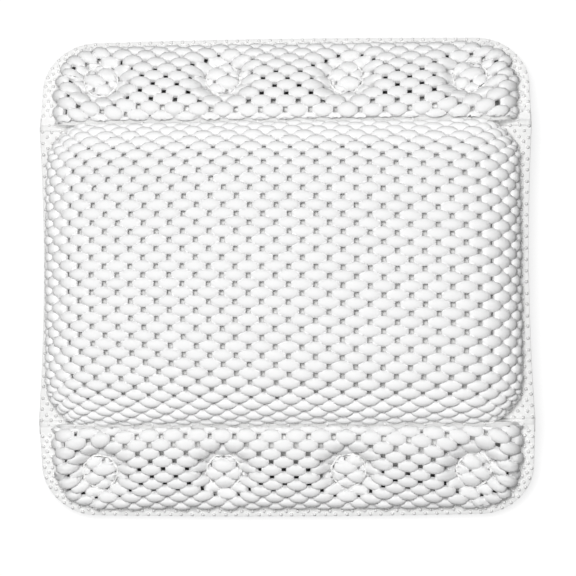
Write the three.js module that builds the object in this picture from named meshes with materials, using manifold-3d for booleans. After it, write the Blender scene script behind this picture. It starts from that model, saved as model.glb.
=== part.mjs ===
// Bath pillow: a cover of foam net is welded to a back of film in three pouches, side by side.
// The middle pouch holds a fibre fill. The two narrow bands beside it are hollow, fold back along
// their welds, and carry suction cups whose heads sit in small round pockets.
// Millimetres, +Z up out of the cushioned face, +Y towards the upper band. The origin is under the
// middle of the pillow, on the surface that it lies on.
import * as THREE from "three";
import { mergeVertices } from "three/addons/utils/BufferGeometryUtils.js";
import Module from "manifold-3d";

const wasm = await Module();
wasm.setup();

// Plan of the welded sheets, laid flat
const WIDTH = 330; // across the weld flange at the bands
const MAIN_DEPTH = 200; // between the two fold lines
const BAND_DEPTH = 64; // from a fold line to the outer edge of its band
const CORNER_RADIUS = 42; // outer corners of the bands
const SIDE_DRAW_IN = 3; // how far the filled pouch pulls its two sides in
const FLANGE = 8.5; // width of the weld along the outer edges
const FOLD_WEB = 6; // width of the weld along a fold line
const FOLD_SLIT = 0.6; // slit along a fold line, in place of its flexing strip

// Sheets and fits
const FILM = 0.8; // back film
const NET = 5; // foam net
const WELD = 1; // foam net where the weld has crushed it
const BEAD = 1.1; // height of a bead above the net's mean surface, and depth of a hole below it
const CLEARANCE = 0.3; // between two pieces that lie on each other
const FILL_GAP = 0.9; // between the fill and the net over it

// Main pouch: its net rises to a crown in front and its film to a belly behind
const CROWN = 38; // net above the weld
const BELLY = 26.6; // film below the weld
const BELLY_FLAT = 1.25; // the belly as a share of its depth, before the floor flattens it
const MAIN_CORNER = 22; // plan radius of the pouch's corners
const SIDE_RADIUS = 20; // roll of the net over the left and right sides
const SIDE_TURN = THREE.MathUtils.degToRad(125); // past upright, so that the sides overhang the weld
const END_RADIUS = 37; // roll of the net towards the fold lines
const END_TURN = THREE.MathUtils.degToRad(80);
const DOME = 4; // fall of the crown before it rolls over
const FILL_RIM = 0.8; // thickness of the fill along its edge

// Bands: a steep wall beside the fold line, then a long slope to the outer edge
const BAND_CROWN = 18; // net above the weld
const BAND_SHOULDER = 9; // from the weld to the crest
const BAND_END_RADIUS = 13; // roll of the net over the left and right ends

// Beads of the net, counted along its welded panels
const BEAD_COUNT_ACROSS = 16;
const BEAD_COUNT_MAIN = 13; // from one fold line to the other
const BEAD_COUNT_BAND = 5; // from a fold line to the outer edge
const ROLL_LINES = 3; // lines that the net's inner face keeps over each side roll
const CELL_COUNT_ACROSS = 12;
const CELL_COUNT_DEEP = 10;

// Suction cups and the tufts that hold them
const CUPS = 4; // on each band
const CUP_PITCH = WIDTH / CUPS;
const CUP_REACH = 12.3; // from the film to the cup's rim
const CUP_RADIUS = 18;
const CUP_WALL = 1.8;
const RIM_LAND = 1.6; // flat ring that meets the tub
const CUP_TRAVEL = 3; // how far a pressed cup moves towards the film
const NECK_RADIUS = 4;
const HEAD_RADIUS = 6.8;
const HEAD = 2; // thickness in the middle
const HEAD_EDGE = 1.2;
const POCKET_ROOM = 2.1; // about a cup's head, which moves up when the cup is pressed
const POCKET_WALL = 1.8; // net over a cup's head
const RING_WELD = 2.5; // width of the round weld about a pocket
const TUFT_RADIUS = 25; // where the net starts to fall towards a round weld
const CUP_SIDES = 18;
const TUFT_SIDES = 10;

// Levels above the film's lower face at the weld, and plan sizes that follow from the above
const WELD_UNDER = FILM + CLEARANCE;
const WELD_TOP = WELD_UNDER + WELD;
const MAIN_HALF_WIDTH = WIDTH / 2 - FLANGE;
const MAIN_HALF_DEPTH = (MAIN_DEPTH - FOLD_WEB) / 2;
const BAND_HALF_WIDTH = WIDTH / 2 - FLANGE;
const BAND_INNER = FOLD_WEB / 2;
const BAND_OUTER = BAND_DEPTH - FLANGE;
const CUP_LINE = BAND_DEPTH / 2; // from the fold line to the cups' axes
const HEAD_UNDER = FILM + CLEARANCE;
const POCKET_RADIUS = HEAD_RADIUS + POCKET_ROOM;
const POCKET_TOP = HEAD_UNDER + HEAD + CUP_TRAVEL + 3 * CLEARANCE;
const RING_INNER = POCKET_RADIUS + POCKET_WALL / 2;
const RING_OUTER = RING_INNER + RING_WELD;

// The bands droop from the fold lines until the rims of their cups meet what the belly lies on.
const RIM_ARM = Math.hypot(CUP_LINE + CUP_RADIUS, CUP_REACH);
const BAND_DROOP = Math.asin(BELLY / RIM_ARM) - Math.atan2(CUP_REACH, CUP_LINE + CUP_RADIUS);

const foamNet = new THREE.MeshStandardMaterial({ color: 0xf4f4f2, roughness: 0.55, metalness: 0 });
const whiteFilm = new THREE.MeshStandardMaterial({ color: 0xf0f0ee, roughness: 0.4, metalness: 0 });
const fibre = new THREE.MeshStandardMaterial({ color: 0xe9e9e6, roughness: 0.95, metalness: 0 });
const clearVinyl = new THREE.MeshStandardMaterial({
  color: 0xe6ebea,
  roughness: 0.2,
  metalness: 0,
  transparent: true,
  opacity: 0.55,
});

// Solids and geometry

function solidOf(geometry) {
  const bare = geometry.clone();
  bare.deleteAttribute("normal");
  bare.deleteAttribute("uv");
  const merged = mergeVertices(bare, 1e-4);
  return new wasm.Manifold(
    new wasm.Mesh({
      numProp: 3,
      vertProperties: merged.attributes.position.array,
      triVerts: new Uint32Array(merged.index.array),
    }),
  );
}

function geometryOf(solid) {
  const mesh = solid.getMesh();
  const geometry = new THREE.BufferGeometry();
  geometry.setAttribute("position", new THREE.BufferAttribute(mesh.vertProperties, 3));
  geometry.setIndex(new THREE.BufferAttribute(mesh.triVerts, 1));
  geometry.computeVertexNormals();
  return geometry;
}

function revolve(profile, sides) {
  const points = profile.map(([r, z]) => new THREE.Vector2(r, z));
  return new THREE.LatheGeometry(points, sides).rotateX(Math.PI / 2);
}

const range = (count) => Array.from({ length: count + 1 }, (_, k) => k);

// The lines of a fine grid that its coarse twin keeps: both edges, both welds with some lines next to them,
// and between those one line in so many
function coarseLines(count, beside, stride) {
  const near = range(beside).slice(1);
  const spans = Math.ceil((count - 2 - 2 * beside) / stride);
  const middle = range(spans).map((k) => Math.min(1 + beside + stride * k, count - 1 - beside));
  return [0, ...near, ...middle, ...near.map((k) => count - 1 - beside + k), count];
}

// A closed sheet between two grids of points. The lower grid has only the listed lines of the upper one.
function closedSheet(upper, lower, columns, rows) {
  const points = [];
  const faces = [];
  const number = (grid) => grid.map((line) => line.map((point) => points.push(point) - 1));
  const top = number(upper);
  const bottom = number(lower);
  for (let i = 0; i + 1 < top.length; i++) {
    for (let j = 0; j + 1 < top[i].length; j++) {
      const [a, b, c, d] = [top[i][j], top[i + 1][j], top[i + 1][j + 1], top[i][j + 1]];
      // The fold of a cell runs from bead to bead, so that holes are the low corners.
      if ((i + j) % 2 === 0) faces.push([a, b, c], [a, c, d]);
      else faces.push([a, b, d], [b, c, d]);
    }
  }
  for (let i = 0; i + 1 < columns.length; i++) {
    for (let j = 0; j + 1 < rows.length; j++) {
      const [a, b, c, d] = [bottom[i][j], bottom[i + 1][j], bottom[i + 1][j + 1], bottom[i][j + 1]];
      if ((columns[i] + rows[j]) % 2 === 0) faces.push([a, c, b], [a, d, c]);
      else faces.push([a, d, b], [b, d, c]);
    }
  }
  // One edge wall: the upper edge's points, the lower edge's, and which of the upper ones those stand under
  const wall = (high, low, lines) => {
    for (let k = 0; k + 1 < lines.length; k++) {
      faces.push([low[k], low[k + 1], high[lines[k + 1]]]);
      for (let e = lines[k]; e < lines[k + 1]; e++) faces.push([low[k], high[e + 1], high[e]]);
    }
  };
  const turned = (lines) => lines.map((k) => lines.at(-1) - k).reverse();
  const along = (grid, j) => grid.map((line) => line.at(j));
  wall(along(top, 0), along(bottom, 0), columns);
  wall(top.at(-1), bottom.at(-1), rows);
  wall(along(top, -1).reverse(), along(bottom, -1).reverse(), turned(columns));
  wall([...top[0]].reverse(), [...bottom[0]].reverse(), turned(rows));
  const geometry = new THREE.BufferGeometry().setFromPoints(points);
  geometry.setIndex(faces.flat());
  geometry.computeVertexNormals();
  return geometry;
}

// Moves a plan point of a half-width by half-depth rectangle so that its corner becomes a round one.
function roundCorner(x, y, halfWidth, halfDepth, radius) {
  const a = (Math.abs(x) - halfWidth + radius) / radius;
  const b = (Math.abs(y) - halfDepth + radius) / radius;
  if (a <= 0 || b <= 0) return [x, y];
  const ax = halfWidth - radius + radius * a * Math.sqrt(1 - (b * b) / 2);
  const by = halfDepth - radius + radius * b * Math.sqrt(1 - (a * a) / 2);
  return [Math.sign(x) * ax, Math.sign(y) * by];
}

// Half of a pouch's cross-section in even steps along its net, from the middle (t = 0) to the weld (t = 1):
// how far out the net is, and the share of the pouch's height that it still has there
function roll(t, weldHalf, radius, turn, dome) {
  const flat = weldHalf - radius * Math.sin(turn);
  const run = Math.abs(t) * (flat + radius * turn);
  const angle = Math.max(0, run - flat) / radius;
  const reach = Math.min(run, flat) + radius * Math.sin(angle);
  const fall = dome * (Math.min(run, flat) / flat) ** 2 + radius * (1 - Math.cos(angle));
  const height = 1 - fall / (dome + radius * (1 - Math.cos(turn)));
  return { reach: Math.sign(t) * reach, height };
}

// Main pouch

// How far the sides are drawn in at a distance y from the middle
function drawIn(y) {
  return SIDE_DRAW_IN * (1 - (y / MAIN_HALF_DEPTH) ** 2);
}

// A point of the main net or of a layer under it. p and q run from weld to weld, from -1 to 1.
function mainNet(p, q, base, inset) {
  const weldHalf = MAIN_HALF_WIDTH - inset;
  const side = roll(p, weldHalf, SIDE_RADIUS - inset, SIDE_TURN, DOME);
  const end = roll(q, MAIN_HALF_DEPTH - inset, END_RADIUS - inset, END_TURN, DOME);
  const overhang = Math.max(0, Math.abs(side.reach) - weldHalf);
  const wide = Math.sign(p) * (Math.abs(side.reach) - overhang * (1 - end.height));
  const [x, y] = roundCorner(wide, end.reach, weldHalf, MAIN_HALF_DEPTH - inset, MAIN_CORNER - inset);
  const z = base + (CROWN - base - inset) * side.height * end.height;
  return new THREE.Vector3(x * (1 - drawIn(y) / MAIN_HALF_WIDTH), y, z);
}

// A point of the belly, at a height above the film's lower face
function mainBelly(p, q, height) {
  const [x, y] = roundCorner(
    p * MAIN_HALF_WIDTH,
    q * MAIN_HALF_DEPTH,
    MAIN_HALF_WIDTH,
    MAIN_HALF_DEPTH,
    MAIN_CORNER,
  );
  const depth = Math.min(1, BELLY_FLAT * (1 - p ** 4) * (1 - q * q) ** 0.8);
  return new THREE.Vector3(x * (1 - drawIn(y) / MAIN_HALF_WIDTH), y, height - BELLY * depth);
}

// A main panel's grid: the outermost lines are its outer edges, the next ones the weld round its pouch.
function mainGrid(columns, rows, across, deep, level, pouch) {
  const share = (k, count) => (2 * (k - 1)) / (count - 2) - 1;
  const place = (i, j) => {
    const p = share(THREE.MathUtils.clamp(i, 1, across - 1), across);
    const q = share(THREE.MathUtils.clamp(j, 1, deep - 1), deep);
    const inPouch = i > 0 && i < across && j > 0 && j < deep;
    const point = pouch(p, q, inPouch && Math.abs(p) < 1 && Math.abs(q) < 1 ? (i + j) % 2 : null);
    if (j === 0 || j === deep) point.y = Math.sign(q) * (MAIN_DEPTH - FOLD_SLIT) * 0.5;
    if (i === 0 || i === across) point.x = Math.sign(p) * (WIDTH / 2 - Math.max(0, drawIn(point.y)));
    if (!inPouch) point.z = level;
    return point;
  };
  return columns.map((i) => rows.map((j) => place(i, j)));
}

// Beads stand out at even places of a net's grid and holes sink in at odd ones. Welded places are flat.
function beadInset(parity) {
  if (parity === null) return 0;
  return parity === 0 ? -BEAD : BEAD;
}

function mainCover() {
  const [across, deep] = [2 * BEAD_COUNT_ACROSS, 2 * BEAD_COUNT_MAIN];
  const [columns, rows] = [coarseLines(across, ROLL_LINES, 2), coarseLines(deep, 0, 2)];
  const upper = mainGrid(range(across), range(deep), across, deep, WELD_TOP, (p, q, parity) =>
    mainNet(p, q, WELD_TOP, beadInset(parity)),
  );
  const lower = mainGrid(columns, rows, across, deep, WELD_UNDER, (p, q) => mainNet(p, q, WELD_UNDER, NET));
  return closedSheet(upper, lower, columns, rows);
}

function mainBack() {
  const [across, deep] = [CELL_COUNT_ACROSS, CELL_COUNT_DEEP];
  const [columns, rows] = [range(across), range(deep)];
  const face = (height) =>
    mainGrid(columns, rows, across, deep, height, (p, q) => mainBelly(p, q, height));
  return closedSheet(face(FILM), face(0), columns, rows);
}

// The fill takes up the pouch: a block under the net, less what lies below the film's upper face.
function mainFill() {
  const columns = coarseLines(2 * BEAD_COUNT_ACROSS, ROLL_LINES, 2).slice(1, -1);
  const rows = coarseLines(2 * BEAD_COUNT_MAIN, 0, 2).slice(1, -1);
  const share = (lines, k) => (2 * (k - lines[0])) / (lines.at(-1) - lines[0]) - 1;
  const inset = NET + FILL_GAP;
  const top = columns.map((i) =>
    rows.map((j) => mainNet(share(columns, i), share(rows, j), WELD_UNDER + FILL_RIM, inset)),
  );
  const under = top.map((line) => line.map((point) => point.clone().setZ(-2 * BELLY)));
  const block = solidOf(closedSheet(top, under, range(columns.length - 1), range(rows.length - 1)));

  const [across, deep] = [CELL_COUNT_ACROSS, CELL_COUNT_DEEP];
  const lines = [range(across), range(deep)];
  const lift = FILM + CLEARANCE;
  const bed = mainGrid(...lines, across, deep, lift, (p, q) => mainBelly(p, q, lift));
  const depths = bed.map((line) => line.map((point) => point.clone().setZ(-3 * BELLY)));
  return geometryOf(block.subtract(solidOf(closedSheet(bed, depths, ...lines))));
}

// Bands, in a frame of their own: x across, y out from the fold line, z up from the film's lower face there

// A point of a band's net or of a layer under it. p runs across from -1 to 1, and q out from 0 to 1.
function bandNet(p, q, base, inset) {
  const crest = BAND_INNER + BAND_SHOULDER;
  const rise = crest - BAND_INNER - inset;
  const slope = BAND_OUTER - crest - inset;
  const high = BAND_CROWN - base - inset;
  const wallShare = (rise + high) / (rise + high + slope + high / 2);
  const turn = (Math.PI / 2) * (q < wallShare ? q / wallShare - 1 : (q - wallShare) / (1 - wallShare));
  const out = crest + Math.sin(turn) * (turn < 0 ? rise : slope);
  const side = roll(p, BAND_HALF_WIDTH - inset, BAND_END_RADIUS - inset, Math.PI / 2, 0);
  const radius = CORNER_RADIUS - FLANGE - inset;
  const [x, y] = roundCorner(side.reach, out, BAND_HALF_WIDTH - inset, BAND_OUTER - inset, radius);
  return new THREE.Vector3(x, y, base + high * Math.cos(turn) * side.height);
}

// A band's grid: the outermost lines are the outer edges and the fold slit, the next ones the weld.
function bandGrid(columns, rows, across, deep, level, pouch) {
  const place = (i, j) => {
    const p = (2 * (THREE.MathUtils.clamp(i, 1, across - 1) - 1)) / (across - 2) - 1;
    const q = (THREE.MathUtils.clamp(j, 1, deep - 1) - 1) / (deep - 2);
    const inPouch = i > 0 && i < across && j > 0 && j < deep;
    const inner = Math.abs(p) < 1 && q > 0 && q < 1;
    if (inPouch) return pouch(p, q, inner ? (i + j) % 2 : null);
    // The flange: the same place on an outline that is wider by the weld
    const wide = i === 0 || i === across ? (Math.sign(p) * WIDTH) / 2 : pouch(p, q, null).x;
    const out = { 0: FOLD_SLIT / 2, [deep]: BAND_DEPTH }[j] ?? pouch(p, q, null).y;
    const [x, y] = roundCorner(wide, out, WIDTH / 2, BAND_DEPTH, CORNER_RADIUS);
    return new THREE.Vector3(x, y, level);
  };
  return columns.map((i) => rows.map((j) => place(i, j)));
}

// Half of a pocket's roof over a cup's head, from its axis down to the weld
function pocketRoof(radius, top, level) {
  const steps = 2;
  return range(steps).map((k) => {
    const turn = (Math.PI / 2) * (k / steps);
    const [out, up] = [Math.sin(turn), Math.cos(turn)].map((part) => Math.abs(part) ** (2 / 3));
    return [radius * out, k === steps ? level : level + (top - level) * up];
  });
}

// The net drawn down to the film about a cup's head: a roofed pocket, the round weld and the net's rise
function tuft(cover, body, x) {
  const high = BAND_CROWN + 2 * BEAD;
  const face = [
    ...pocketRoof(RING_INNER, POCKET_TOP + POCKET_WALL, WELD_TOP),
    [RING_OUTER, WELD_TOP],
    [TUFT_RADIUS, high],
  ];
  const inside = [
    ...pocketRoof(POCKET_RADIUS, POCKET_TOP, WELD_UNDER),
    [RING_OUTER + NET / 2, WELD_UNDER],
    [TUFT_RADIUS + NET / 2, high - NET],
  ];
  const place = (profile) => solidOf(revolve(profile, TUFT_SIDES).translate(x, CUP_LINE, 0));
  const drawn = place([...inside, ...[...face].reverse()]);
  const above = 3 * BAND_CROWN;
  const cutter = place([...face, [TUFT_RADIUS, above], [0, above]]);
  return cover.add(drawn.intersect(body)).subtract(cutter);
}

function cupPlaces() {
  return range(CUPS - 1).map((k) => (k - (CUPS - 1) / 2) * CUP_PITCH);
}

function bandCover() {
  const [across, deep] = [2 * BEAD_COUNT_ACROSS, 2 * BEAD_COUNT_BAND];
  const [columns, rows] = [coarseLines(across, 1, across), coarseLines(deep, 0, 2)];
  const upper = bandGrid(range(across), range(deep), across, deep, WELD_TOP, (p, q, parity) =>
    bandNet(p, q, WELD_TOP, beadInset(parity)),
  );
  const lower = bandGrid(columns, rows, across, deep, WELD_UNDER, (p, q) => bandNet(p, q, WELD_UNDER, NET));
  const floor = upper.map((line) => line.map((point) => point.clone().setZ(0)));
  const cover = solidOf(closedSheet(upper, lower, columns, rows));
  const body = solidOf(closedSheet(upper, floor, range(across), range(deep)));
  return geometryOf(cupPlaces().reduce((made, x) => tuft(made, body, x), cover));
}

function bandBack() {
  const half = WIDTH / 2;
  const shape = new THREE.Shape();
  shape.moveTo(-half, FOLD_SLIT / 2);
  shape.lineTo(half, FOLD_SLIT / 2);
  shape.absarc(half - CORNER_RADIUS, BAND_DEPTH - CORNER_RADIUS, CORNER_RADIUS, 0, Math.PI / 2);
  shape.absarc(CORNER_RADIUS - half, BAND_DEPTH - CORNER_RADIUS, CORNER_RADIUS, Math.PI / 2, Math.PI);
  for (const x of cupPlaces()) {
    const hole = new THREE.Path();
    hole.absarc(x, CUP_LINE, NECK_RADIUS + CLEARANCE, 0, 2 * Math.PI, true);
    shape.holes.push(hole);
  }
  return new THREE.ExtrudeGeometry(shape, { depth: FILM, bevelEnabled: false, curveSegments: 8 });
}

// A suction cup, moulded in one: the head in its pocket, the neck through the film and the hollow skirt
function suctionCup() {
  const skirtTop = -(CUP_TRAVEL + CLEARANCE);
  const skirtDrop = CUP_REACH + skirtTop;
  const crown = NECK_RADIUS + CUP_WALL;
  const flare = (share, wall) => [
    crown + (CUP_RADIUS - RIM_LAND - crown) * Math.sin((Math.PI / 2) * share) + (wall ? 0 : RIM_LAND),
    skirtTop - wall - (skirtDrop - wall) * (1 - Math.cos((Math.PI / 2) * share)),
  ];
  const shares = [0.25, 0.5, 0.75, 1];
  const profile = [
    [0, skirtTop - 1.5 * CUP_WALL],
    ...shares.map((share) => flare(share, CUP_WALL)),
    ...[...shares].reverse().map((share) => flare(share, 0)),
    [crown, skirtTop],
    [NECK_RADIUS, skirtTop],
    [NECK_RADIUS, HEAD_UNDER],
    [HEAD_RADIUS, HEAD_UNDER],
    [HEAD_RADIUS, HEAD_UNDER + HEAD_EDGE],
    [0, HEAD_UNDER + HEAD],
  ];
  return revolve(profile, CUP_SIDES);
}

// Assembly

function named(name, geometry, material) {
  const mesh = new THREE.Mesh(geometry, material);
  mesh.name = name;
  return mesh;
}

function band(name) {
  const group = new THREE.Group();
  group.add(named(`${name}_band_cover`, bandCover(), foamNet));
  group.add(named(`${name}_band_back`, bandBack(), whiteFilm));
  cupPlaces().forEach((x, k) => {
    const cup = named(`${name}_suction_cup_${k + 1}`, suctionCup(), clearVinyl);
    cup.position.set(x, CUP_LINE, 0);
    group.add(cup);
  });
  group.position.y = MAIN_DEPTH / 2;
  group.rotation.x = -BAND_DROOP;
  return group;
}

const main = new THREE.Group();
main.add(named("main_cover", mainCover(), foamNet));
main.add(named("main_fill", mainFill(), fibre));
main.add(named("main_back", mainBack(), whiteFilm));

const lowerBand = new THREE.Group();
lowerBand.add(band("lower"));
lowerBand.rotation.z = Math.PI;

const pillow = new THREE.Group();
pillow.add(main, band("upper"), lowerBand);
pillow.position.z = BELLY;

const bathPillow = new THREE.Group();
bathPillow.add(pillow);

export default bathPillow;
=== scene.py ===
"""Looks of a white bath pillow: foam bead net over a filled pouch and two hollow bands."""

import math

import bmesh
import bpy
import numpy as np
from mathutils import Matrix, Vector


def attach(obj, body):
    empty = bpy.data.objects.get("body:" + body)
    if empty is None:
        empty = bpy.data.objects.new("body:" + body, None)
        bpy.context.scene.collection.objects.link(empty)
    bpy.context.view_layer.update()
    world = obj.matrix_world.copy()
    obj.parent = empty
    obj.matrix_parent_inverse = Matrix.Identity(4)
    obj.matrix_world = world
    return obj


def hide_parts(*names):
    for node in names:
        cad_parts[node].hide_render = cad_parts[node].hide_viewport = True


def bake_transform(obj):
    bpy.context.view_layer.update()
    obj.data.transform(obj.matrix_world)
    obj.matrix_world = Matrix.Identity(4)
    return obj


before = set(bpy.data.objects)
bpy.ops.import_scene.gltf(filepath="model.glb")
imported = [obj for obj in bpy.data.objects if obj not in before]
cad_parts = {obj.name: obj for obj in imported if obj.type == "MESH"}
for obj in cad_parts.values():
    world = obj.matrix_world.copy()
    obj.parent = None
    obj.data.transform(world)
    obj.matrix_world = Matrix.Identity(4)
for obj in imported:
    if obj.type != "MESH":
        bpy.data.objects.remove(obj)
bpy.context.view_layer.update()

RANDOM_SEED = 7
rng = np.random.default_rng(RANDOM_SEED)

PER_METRE = 1000

# Sizes in millimetres. The sheet that joins the three pouches, and its welded flange, whose lip goes by
# shares of the width and heights over its upper or lower face
WIDTH = 330.0
MAIN_DEPTH = 200.0
BAND_DEPTH = 64.0
CORNER_RADIUS = 34.0
SIDE_DRAW_IN = 3.0
SHEET_TRIM = 0.7
SHEET_LESS = 0.2
SHEET_TAPER = 0.007
SHEET_BOW = 0.8
BOW_REACH = 100
BAND_TRIM = {"upper": 0.7, "lower": 0.0}
FLANGE = 8.5
FLANGE_TRIM = 0.4
FLANGE_UNDER_NET = 2.5
LIP_TOP = [(0, 0), (0.5, 0), (0.93, 0), (0.985, -0.12), (1.0, -0.5)]
LIP_UNDER = [(1.0, 0.3), (0.985, 0), (0.0, 0)]
FOLD_WEB = 6.0
FILM = 0.8
FILM_TRIM = 0.7
WELD_TOP = 2.1
HALF_WIDTH = WIDTH / 2 - FLANGE
HALF_DEPTH = (MAIN_DEPTH - FOLD_WEB) / 2

# The main pouch: its net above, its film and fibre pad below
CROWN = 38.0
DOME = 4.0
SIDE_RADIUS = 40.0
SIDE_TURN = math.radians(108)
END_RADIUS = 42.0
END_TURN = math.radians(107)
MAIN_CORNER = 22.0
CORNER_OVER = 1.35
LEAN_ROUNDS = 4
LEAN_X = -3.5
LEAN_Y = 0.3
BELLY = 26.6
BELLY_FLAT = 1.25
BELLY_SIDE_POWER = 4
BELLY_END_POWER = 0.8
BELLY_BLEND = 14
FILL_UNDER = 4.3
FILL_OVER_FILM = 0.4
FILL_SIDES = 0.96
FILL_ENDS = 0.94
PAD_GRID = (120, 90)
FILM_GRID = (90, 70)

# The suction cups: (radius, height) pairs over the band film's lower face, the skirt's two walls by first
# radius, first height, width and depth, and where the cups stand
CUP_RADIUS = 18.0
CUP_REACH = 12.3
CUP_HEAD = [(0, 2.9), (3.6, 2.7), (5.6, 2.2), (6.5, 1.8), (6.8, 1.5), (6.6, 1.25), (6.0, 1.1), (4.6, 1.1)]
CUP_NECK = [(4.1, 0.9), (4, 0.4), (4, -3.05), (4.2, -3.15), (4.9, -3.25), (6, -3.3)]
CUP_LIP = [(17.9, -12.1), (17.6, -12.3), (16.7, -12.3), (16.4, -12.1)]
CUP_ROOF = [(3, -5.5), (0, -5.6)]
SKIRT_OUTSIDE = (6, -3.3, 12, 8.5)
SKIRT_INSIDE = (5, -5.3, 11.4, 6.8)
SKIRT_FIRST = 0.05
SKIRT_STEPS = 16
CUP_SEGMENTS = 56
CUP_LINE = BAND_DEPTH / 2
CUP_PITCH = WIDTH / 4
CUPS_AT = [(k - 1.5) * CUP_PITCH for k in range(4)]
RIM_ARM = math.hypot(CUP_LINE + CUP_RADIUS, CUP_REACH)
DROOP = math.asin(BELLY / RIM_ARM) - math.atan2(CUP_REACH, CUP_LINE + CUP_RADIUS)

# The bands' pouches
BAND_CROWN = 18.0
BAND_CREST = 13.0
BAND_SILL = 9.0
BAND_WALL = -1.4
BAND_DOME = 0.5
BAND_END_RADIUS = 13.0
BAND_END_TURN = math.radians(88)
BAND_HALF = HALF_WIDTH - 2.2
BAND_INNER = FOLD_WEB / 2
BAND_OUTER = BAND_DEPTH - FLANGE + 0.4
CORNER_FROM = 0.45
BANDS = (("upper", 1), ("lower", -1))
WALL_STEPS = 200
SLOPE_STEPS = 300

# The round welds about the cups' pockets: a groove in the net and a thin ridge in it
RING_LINE = CUP_LINE - 2.4
RING_RADIUS = 11.3
RING_HALF = 2.1
RING_LIFT = 2.0
RING_STEEP = 1.6
RING_FINE = 9
TUFT_RADIUS = 26.0
TUFT_POWER = 1.7
POCKET_HEIGHT = 10.8
POCKET_SILL = 3.3
POCKET_FLAT = 3.2
POCKET_ROUND = 0.6
RIDGE_HALF = 0.9
RIDGE_RISE = 3.2
RIDGE_HALF_HEIGHT = 3.6
RIDGE_POINTS = 13
RIDGE_SEGMENTS = 96

# Waves of a ridge: amount, count in a turn, and share of the cup's place as a phase
RIDGE_ASIDE = ((0.02, 7, 1), (0.015, 16, 2))
RIDGE_UPWARD = ((0.2, 19, 0), (0.3, 3, 1))

# The net. A bead: half widths of a hole as shares of the lattice's half pitches, power of the bead's
# section, and height at a hole as a share of the bead's height
MAIN_BEAD = (0.168, 0.29, 2.1, 0.22)
BAND_BEAD = (0.187, 0.325, 2.5, 0.36)
BEAD_UP = 4.4
BEAD_DOWN = 1.3
BEAD_POWER = 0.5
BEAD_RINGS = [0.38, 0.66, 0.85, 0.95]
FINE_RINGS = [0.14, 0.28, 0.41, 0.53, 0.64, 0.74, 0.84, 0.93]
BEAD_UNEVEN = 0.07
UNEVEN_LIMIT = 1.6
BEAD_CREASE = math.radians(48)
HOLE_SHUT = 0.3
HOLE_MARGIN = 0.004
HOLE_WALL = 0.85
LATTICE_ACROSS = 34
LATTICE_ALONG = 40
KEY_STEPS = 2000
INNER_KEY = 5
EDGE_KEY_LIMIT = 2
# Name of the value on the net's points that sets its painted shade: 0 in the crevices and under the beads,
# up to 1 on the beads
CREVICE_SHADE_VALUE = "bead"
NORMAL_STEP = 0.3
SHORTEST = 1e-6
DRAPE_LIMIT = 1.12
NET_INSET = 2.1

# Where the net ends, where its holes open and where its beads rise, by distance from a weld
NET_PAST_WELD = -1.0
MAIN_OPEN = (28, 56)
BAND_OPEN = (0, 17)
RING_OPEN = (0, 6)
POCKET_OPEN = 0.35
BEAD_RISE = (-1.0, 1.5)
BEAD_AT_WELD = 0.15
# Painted shade on the net: the crevices and undersides are darkest, and beads also darken towards the welds
# over this share of their rise, to no less than this share of the light colour
SHADE_FADE_RISE = 0.6
SHADE_FADE_LEAST = 0.3
MAIN_NET_FROM = -200.0
BAND_NET_FROM = -1.2
BAND_BEADS_FROM = -7
BAND_FOLD_CLEAR = 2

# The net's wander: wave lengths and phases of a broad wave, then the lengths of a fine one
WANDER = 0.25
WANDER_FINE = 0.6
WANDER_U = ((41, 1.3), (33, 0.4), (29, 17))
WANDER_V = ((37, 2.1), (45, 1.9), (15, -31))

# The film's inner face in a band, which bulges up under the net. Beside the fold line a bulge has a place
# where it starts to fall, a place where it ends, and what it gains towards one end of the band
LINER_GRID = (180, 36)
LINER_SIDE = BAND_HALF - 8
LINER_INNER = 2.5
LINER_OUTER = BAND_OUTER - 4
LINER_UNDER = 3.8
POCKET_UNDER = 3.2
LINER_BY_RING = (17, 22)
LINER_IN_POCKET = (12, 16)
LINER_FROM_FOLD = (2.4, 4.5)
LINER_TO_EDGE = (BAND_OUTER - 8, BAND_OUTER - 4.1)
LINER_TO_SIDE = (BAND_HALF - 20, BAND_HALF - 8.5)
LINER_OVER_FILM = 0.02
LINER_INTO_FILM = 0.1
# Top faces of the liner that follow the net less than this on average get a dark film: painted shade inside
# the hollow band
LINER_SHADE_BELOW = 0.3
BULGE = {"upper": (8, 23, 0), "lower": (10, 38, 10)}
BULGE_LONGER = (-20, -90)

# Raised dots of the flanges
DOT_SIZE = (1.25, 1.9)
DOT_SECTION = [(1.0, -0.1), (0.93, 0.35), (0.66, 0.75), (0.3, 0.96)]
DOT_SEGMENTS = 10
DOT_PITCH = 7.4
DOT_FIRST = 0.3
DOT_STRAY = 0.25
DOT_FROM_WELD = 1.5
DOT_PATH_HALF = 98
DOT_PATH_STEPS = 120
MAIN_DOT_ROWS = (1.8, 4.9, 8.0, 11.1, 14.2, 17.3)
BAND_DOT_ROWS = (1.7, 4.2, 6.7)

# Points along the flanges' outlines
SQUARE_STEPS = 90
FOLD_POINTS = 60
SIDE_POINTS = 9
FAR_POINTS = 42
CORNER_POINTS = 24

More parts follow.
